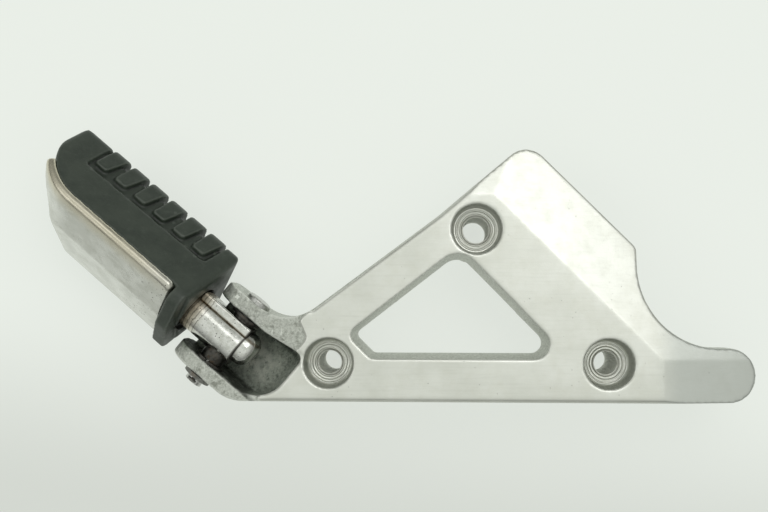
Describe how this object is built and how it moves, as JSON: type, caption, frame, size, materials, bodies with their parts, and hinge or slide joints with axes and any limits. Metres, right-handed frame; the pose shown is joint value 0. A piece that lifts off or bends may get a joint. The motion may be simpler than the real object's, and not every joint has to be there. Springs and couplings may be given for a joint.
{
  "type": "foot peg",
  "caption": "Folding motorcycle passenger foot peg with a rubber tread, hinged in the clevis of a triangular cast hanger bracket.",
  "frame": {"origin": "midway between the two lower bolt holes, in the plane of the rear boss faces", "axes": "+X along the line of the two lower bolt holes towards the hanger's tail, +Y towards the top hole, +Z outboard, away from the motorcycle"},
  "size_m": [0.2767, 0.1091, 0.0523],
  "materials": {
    "cast_aluminium": "polished cast aluminium, satin",
    "pin_steel": "plain steel, lightly worn",
    "zinc_steel": "dull zinc plate",
    "dark_steel": "dark, greasy",
    "chrome": "bright chrome, stained near the rubber",
    "tread_rubber": "worn moulded rubber",
    "polished_steel": "mirror polished, tarnished along the edges"
  },
  "bodies": {
    "hanger": {"bracket": "cast_aluminium", "pivot_pin": "pin_steel", "pin_washer": "zinc_steel", "split_pin": "zinc_steel"},
    "peg": {"peg_arm": "chrome", "pivot_bush": "dark_steel", "thrust_washer": "dark_steel", "spring_washer": "dark_steel", "peg_rubber": "tread_rubber", "underside_plate": "polished_steel", "plate_studs": "zinc_steel", "stud_washers": "zinc_steel", "stud_spring_washers": "zinc_steel", "stud_nuts": "zinc_steel"}
  },
  "joints": [
    {"name": "peg_fold", "type": "hinge", "parent": "hanger", "child": "peg", "pos_m": [-0.0942, 0.009, 0.0315], "axis": [0.6428, 0.766, 0], "range_deg": [0, 90]}
  ]
}
